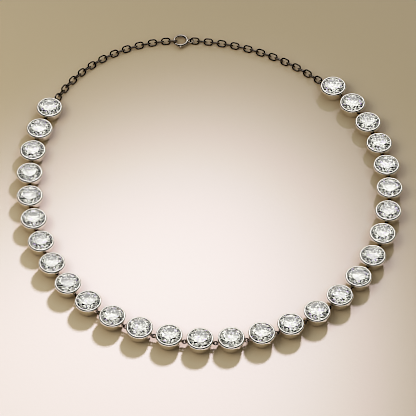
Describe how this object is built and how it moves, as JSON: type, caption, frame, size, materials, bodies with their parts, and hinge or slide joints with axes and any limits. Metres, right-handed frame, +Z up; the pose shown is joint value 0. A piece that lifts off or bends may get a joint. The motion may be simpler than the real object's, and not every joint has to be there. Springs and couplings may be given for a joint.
{
  "type": "riviere necklace",
  "caption": "Riviere necklace of round brilliant stones in polished round collets, joined by jump rings, with a fine cable chain and bolt ring clasp at the back.",
  "frame": {"origin": "middle of the necklace's box on the surface that it lies on", "axes": "+X to the right and +Y from the middle of the row of stones to the clasp, seen from above, +Z up through the stones' tables"},
  "size_m": [0.1294, 0.1396, 0.0046],
  "materials": {
    "silver": "mirror polished white metal",
    "stone": "polished clear cut stone"
  },
  "bodies": {
    "root": {"setting_01": "silver", "setting_02": "silver", "setting_03": "silver", "setting_04": "silver", "setting_05": "silver", "setting_06": "silver", "setting_07": "silver", "setting_08": "silver", "setting_09": "silver", "setting_10": "silver", "setting_11": "silver", "setting_12": "silver", "setting_13": "silver", "setting_14": "silver", "setting_15": "silver", "setting_16": "silver", "setting_17": "silver", "setting_18": "silver", "setting_19": "silver", "setting_20": "silver", "setting_21": "silver", "setting_22": "silver", "setting_23": "silver", "setting_24": "silver", "setting_25": "silver", "setting_26": "silver", "setting_27": "silver", "setting_28": "silver", "setting_29": "silver", "stone_01": "stone", "stone_02": "stone", "stone_03": "stone", "stone_04": "stone", "stone_05": "stone", "stone_06": "stone", "stone_07": "stone", "stone_08": "stone", "stone_09": "stone", "stone_10": "stone", "stone_11": "stone", "stone_12": "stone", "stone_13": "stone", "stone_14": "stone", "stone_15": "stone", "stone_16": "stone", "stone_17": "stone", "stone_18": "stone", "stone_19": "stone", "stone_20": "stone", "stone_21": "stone", "stone_22": "stone", "stone_23": "stone", "stone_24": "stone", "stone_25": "stone", "stone_26": "stone", "stone_27": "stone", "stone_28": "stone", "stone_29": "stone", "links": "silver", "clasp": "silver"}
  },
  "joints": []
}
